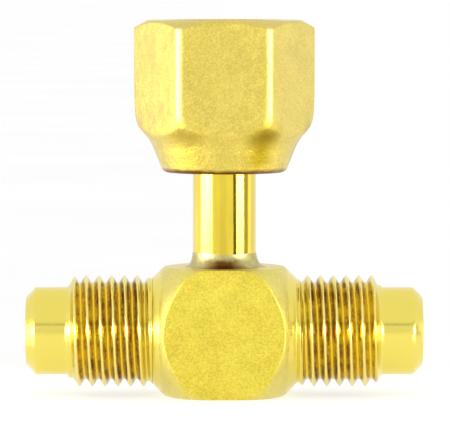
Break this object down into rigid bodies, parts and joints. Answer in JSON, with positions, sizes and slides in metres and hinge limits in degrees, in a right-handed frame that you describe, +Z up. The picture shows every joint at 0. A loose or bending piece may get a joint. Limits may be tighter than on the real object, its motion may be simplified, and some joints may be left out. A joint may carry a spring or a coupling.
{
  "type": "flare access tee",
  "caption": "Brass refrigeration tee with male flare access ports in line and a swivel flare nut on a stem branch.",
  "frame": {"origin": "centre of the forged block's flat base, under the branch", "axes": "+X along the run, out of the right port; +Z up the branch, out of the swivel nut's mouth; +Y away from the viewer"},
  "size_m": [0.0394, 0.0158, 0.0373],
  "materials": {
    "forged_brass": "matte",
    "nut_brass": "satin",
    "stem_brass": "gloss",
    "turned_brass": "satin",
    "bronze": "satin",
    "braze": "satin",
    "spring_steel": "satin",
    "ptfe": "matte",
    "rubber": "matte"
  },
  "bodies": {
    "root": {"tee_body": "forged_brass", "swivel_stem": "stem_brass", "braze_fillet": "braze", "core_depressor": "turned_brass", "left_core_plug": "turned_brass", "left_core_barrel": "turned_brass", "left_barrel_seal": "ptfe", "left_core_spring": "spring_steel", "right_core_plug": "turned_brass", "right_core_barrel": "turned_brass", "right_barrel_seal": "ptfe", "right_core_spring": "spring_steel"},
    "washer": {"slip_washer": "bronze"},
    "nut": {"swivel_nut": "nut_brass"},
    "left_pin": {"left_core_pin": "turned_brass", "left_valve_cup": "turned_brass", "left_cup_seal": "rubber"},
    "right_pin": {"right_core_pin": "turned_brass", "right_valve_cup": "turned_brass", "right_cup_seal": "rubber"}
  },
  "joints": [
    {"name": "nut_slide", "type": "slide", "parent": "root", "child": "washer", "axis": [0, 0, 1], "range_m": [-0.0087, 0]},
    {"name": "nut_spin", "type": "hinge", "parent": "washer", "child": "nut", "pos_m": [0, 0, 0.0297], "axis": [0, 0, 1], "continuous": true},
    {"name": "left_pin_press", "type": "slide", "parent": "root", "child": "left_pin", "axis": [1, 0, 0], "range_m": [0, 0.0015], "stiffness_N_per_m": 1200, "springref_m": -0.0015, "deforming": ["left_core_spring"]},
    {"name": "right_pin_press", "type": "slide", "parent": "root", "child": "right_pin", "axis": [-1, 0, 0], "range_m": [0, 0.0015], "stiffness_N_per_m": 1200, "springref_m": -0.0015, "deforming": ["right_core_spring"]}
  ]
}
